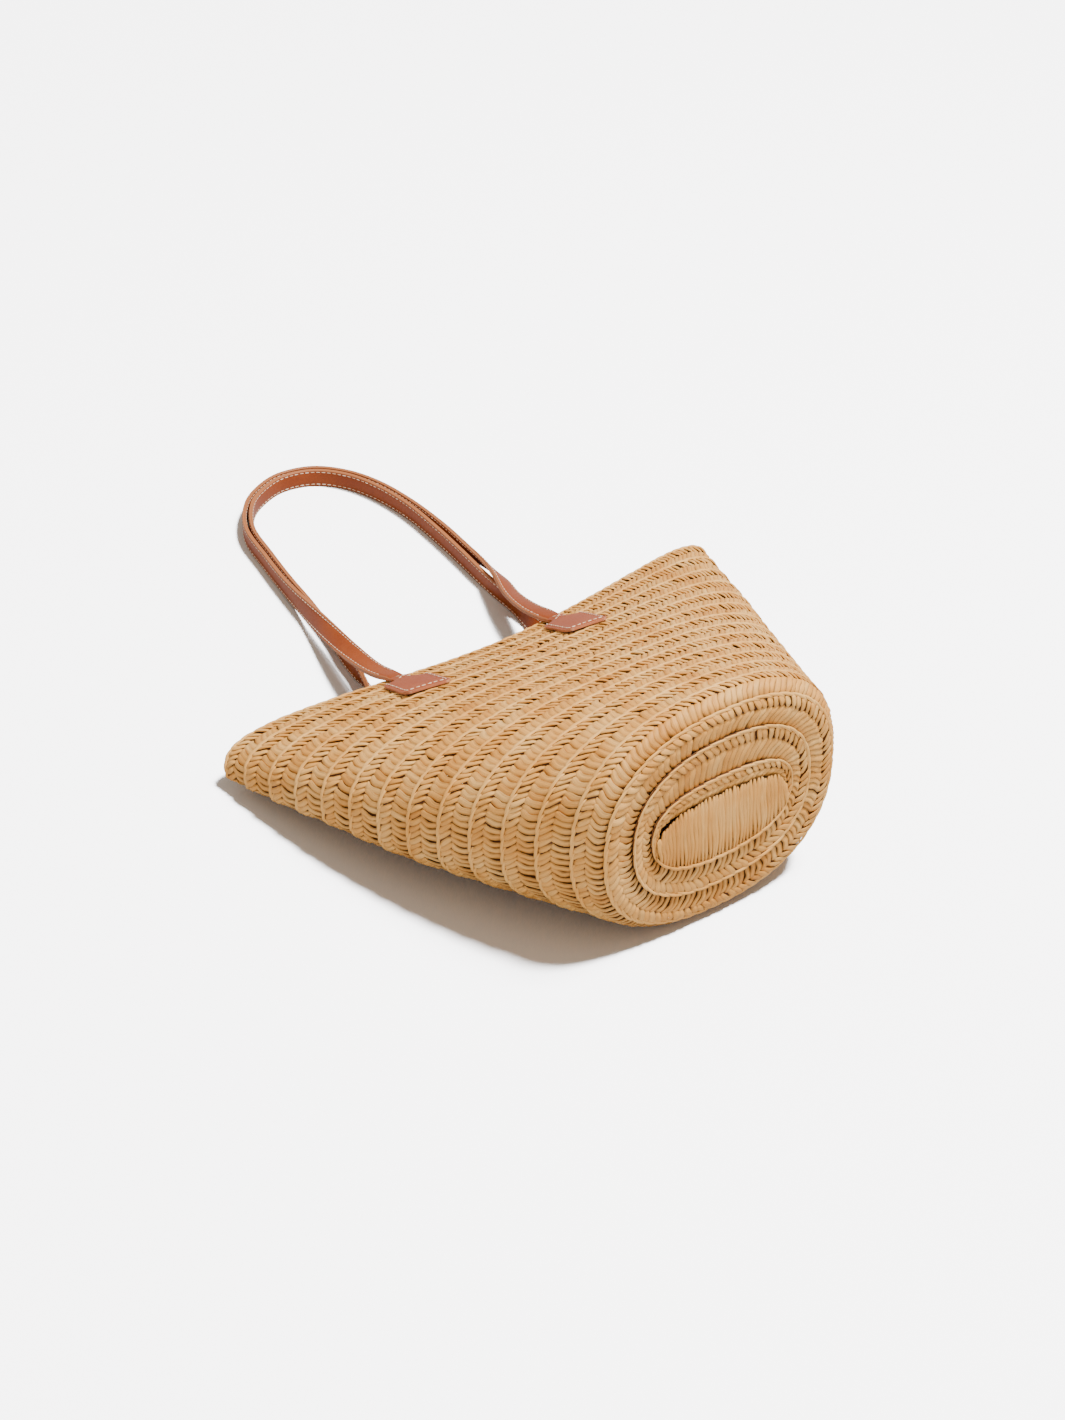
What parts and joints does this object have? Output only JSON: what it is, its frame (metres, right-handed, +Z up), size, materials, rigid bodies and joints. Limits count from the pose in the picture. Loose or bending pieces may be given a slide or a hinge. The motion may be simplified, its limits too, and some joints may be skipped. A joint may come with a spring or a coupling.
{
  "type": "straw beach bag",
  "caption": "Soft round-cornered straw tote of sewn plait rows, lying on its side with its base showing, with two long stitched leather strap handles.",
  "frame": {"origin": "middle of the whole object's underside, on the floor it lies on", "axes": "+Y from the base towards the mouth and along the handles, +Z up from the floor through the front panel, +X across the mouth to the right as seen from above with the base nearest"},
  "size_m": [0.472, 0.6671, 0.1735],
  "materials": {
    "straw": "plaited palm straw, dry, matt to satin on the strands",
    "strap_leather": "reddish-brown smooth strap leather, soft satin",
    "tab_leather": "paler pinkish-brown leather, satin",
    "thread": "waxed cream sewing thread"
  },
  "bodies": {
    "bag": {"base_center_strip": "straw", "base_ring_1": "straw", "base_ring_2": "straw", "base_edge_row": "straw", "wall_row_01": "straw", "wall_row_02": "straw", "wall_row_03": "straw", "wall_row_04": "straw", "wall_row_05": "straw", "wall_row_06": "straw", "wall_row_07": "straw", "wall_row_08": "straw", "wall_row_09": "straw", "wall_row_10": "straw", "wall_row_11": "straw", "wall_row_12": "straw", "wall_row_13": "straw", "front_left_tab": "tab_leather", "front_left_backing": "tab_leather", "front_left_tab_stitching": "thread", "front_right_tab": "tab_leather", "front_right_backing": "tab_leather", "front_right_tab_stitching": "thread", "back_left_tab": "tab_leather", "back_left_backing": "tab_leather", "back_left_tab_stitching": "thread", "back_right_tab": "tab_leather", "back_right_backing": "tab_leather", "back_right_tab_stitching": "thread"},
    "front_handle": {"front_handle_outer_ply": "strap_leather", "front_handle_inner_ply": "strap_leather", "front_handle_stitching": "thread"},
    "back_handle": {"back_handle_outer_ply": "strap_leather", "back_handle_inner_ply": "strap_leather", "back_handle_stitching": "thread"}
  },
  "joints": [
    {"name": "front_handle_swing", "type": "hinge", "parent": "bag", "child": "front_handle", "pos_m": [-0.09701, -0.02498, 0.04835], "axis": [0.9985, 0.0356, -0.0419], "range_deg": [0, 120]},
    {"name": "back_handle_swing", "type": "hinge", "parent": "bag", "child": "back_handle", "pos_m": [-0.09712, -0.05734, 0.00369], "axis": [0.9996, 0.0283, -0.0013], "range_deg": [-120, 0]}
  ]
}
